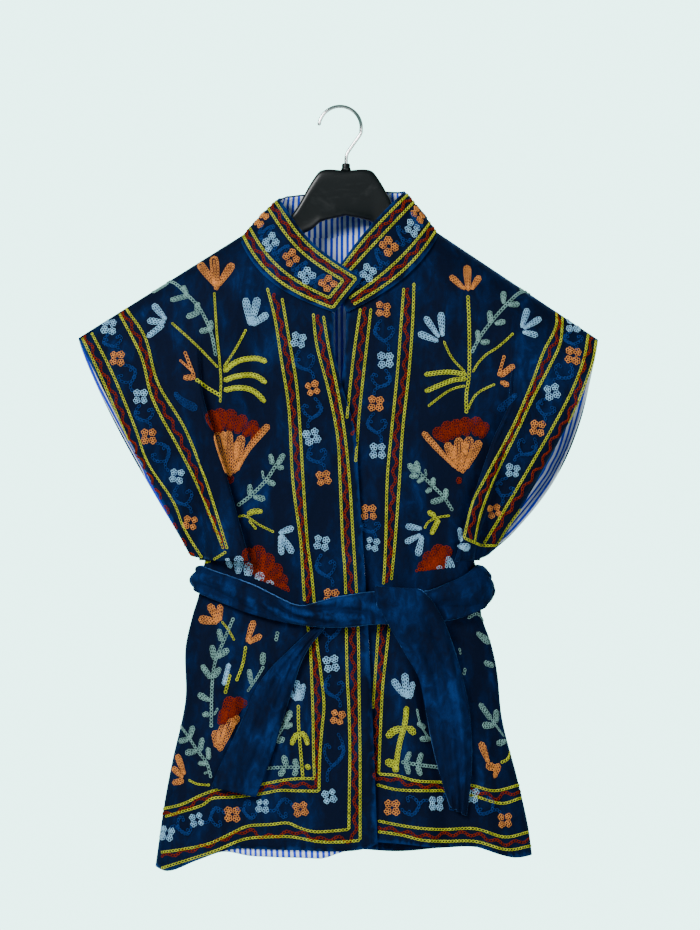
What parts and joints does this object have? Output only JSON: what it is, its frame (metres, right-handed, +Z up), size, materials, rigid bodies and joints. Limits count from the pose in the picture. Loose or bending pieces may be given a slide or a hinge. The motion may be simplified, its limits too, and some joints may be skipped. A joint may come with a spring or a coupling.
{
  "type": "velvet jacket hanging on a suit hanger",
  "caption": "Short-sleeved navy velvet jacket with embroidered borders and flowers, stand collar, striped lining and tied sash, on a black hanger.",
  "frame": {"origin": "where the inside of the hook's top rests on its nail", "axes": "+X towards the wearer's left, +Y from the front to the back, +Z up; the jacket hangs down along -Z"},
  "size_m": [0.608, 0.1207, 0.8936],
  "materials": {
    "velvet": "pile",
    "lining": "matte",
    "plastic": "satin",
    "chrome": "polished"
  },
  "bodies": {
    "root": {"front_right": "velvet", "front_left": "velvet", "back": "velvet", "collar": "velvet", "lining_front_right": "lining", "lining_front_left": "lining", "lining_back": "lining", "lining_collar": "lining", "belt_band": "velvet", "belt_knot": "velvet", "belt_tail_right": "velvet", "belt_tail_left": "velvet", "hanger_body": "plastic", "hanger_nut": "plastic", "hanger_hook": "chrome"}
  },
  "joints": []
}
